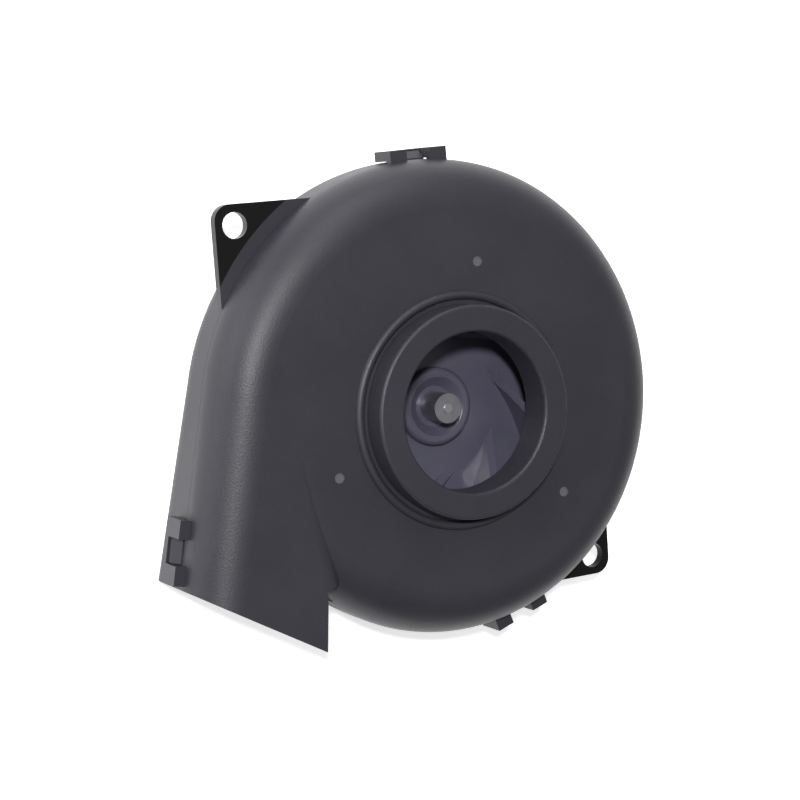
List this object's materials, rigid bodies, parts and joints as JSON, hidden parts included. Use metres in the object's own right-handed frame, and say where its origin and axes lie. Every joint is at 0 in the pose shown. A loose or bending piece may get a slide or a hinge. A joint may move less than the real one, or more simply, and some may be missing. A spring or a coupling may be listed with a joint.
{
  "type": "dc blower fan",
  "caption": "Centrifugal blower with a snap-together scroll housing, round inlet collar, side outlet duct, two mounting ears and a bladed impeller on an outer-rotor motor.",
  "frame": {"origin": "on the fan axis at the back face of the housing", "axes": "+Z along the fan axis out of the inlet, -Y the way the air leaves the outlet duct, -X the duct's side of the axis"},
  "size_m": [0.109, 0.1086, 0.033],
  "materials": {
    "housing": "fine moulded grain, very dark grey",
    "impeller": "smooth, slightly bluish dark grey",
    "steel": "ground steel",
    "bush_metal": "die-cast and machined",
    "brass": "turned brass",
    "magnet": "bonded ferrite",
    "copper": "enamelled copper wire",
    "nylon": "natural nylon",
    "board": "solder mask over glass-fibre board",
    "chip": "moulded epoxy",
    "ceramic": "fired ceramic"
  },
  "bodies": {
    "housing": {"front_shell": "housing", "back_shell": "housing", "bearing_tube": "brass", "stator_core": "steel", "stator_insulators": "nylon", "stator_windings": "copper", "winding_pins": "steel", "circuit_board": "board", "driver_chip": "chip", "hall_sensor": "chip", "filter_capacitor": "ceramic", "chip_resistors": "chip", "bearing_outer_rings": "steel"},
    "rotor": {"shaft": "steel", "retaining_ring": "steel", "preload_washer": "steel", "hub_bush": "bush_metal", "rotor_yoke": "steel", "ring_magnet": "magnet", "impeller": "impeller", "bearing_inner_rings": "steel"},
    "ball_sets": {"bearing_balls": "steel", "bearing_cages": "brass"}
  },
  "joints": [
    {"name": "rotor_spin", "type": "hinge", "parent": "housing", "child": "rotor", "pos_m": [0, 0, 0], "axis": [0, 0, 1], "continuous": true},
    {"name": "ball_set_roll", "type": "hinge", "parent": "housing", "child": "ball_sets", "pos_m": [0, 0, 0], "axis": [0, 0, 1], "continuous": true}
  ],
  "couplings": [
    {"joint": "ball_set_roll", "follows": "rotor_spin", "ratio": 0.375}
  ]
}
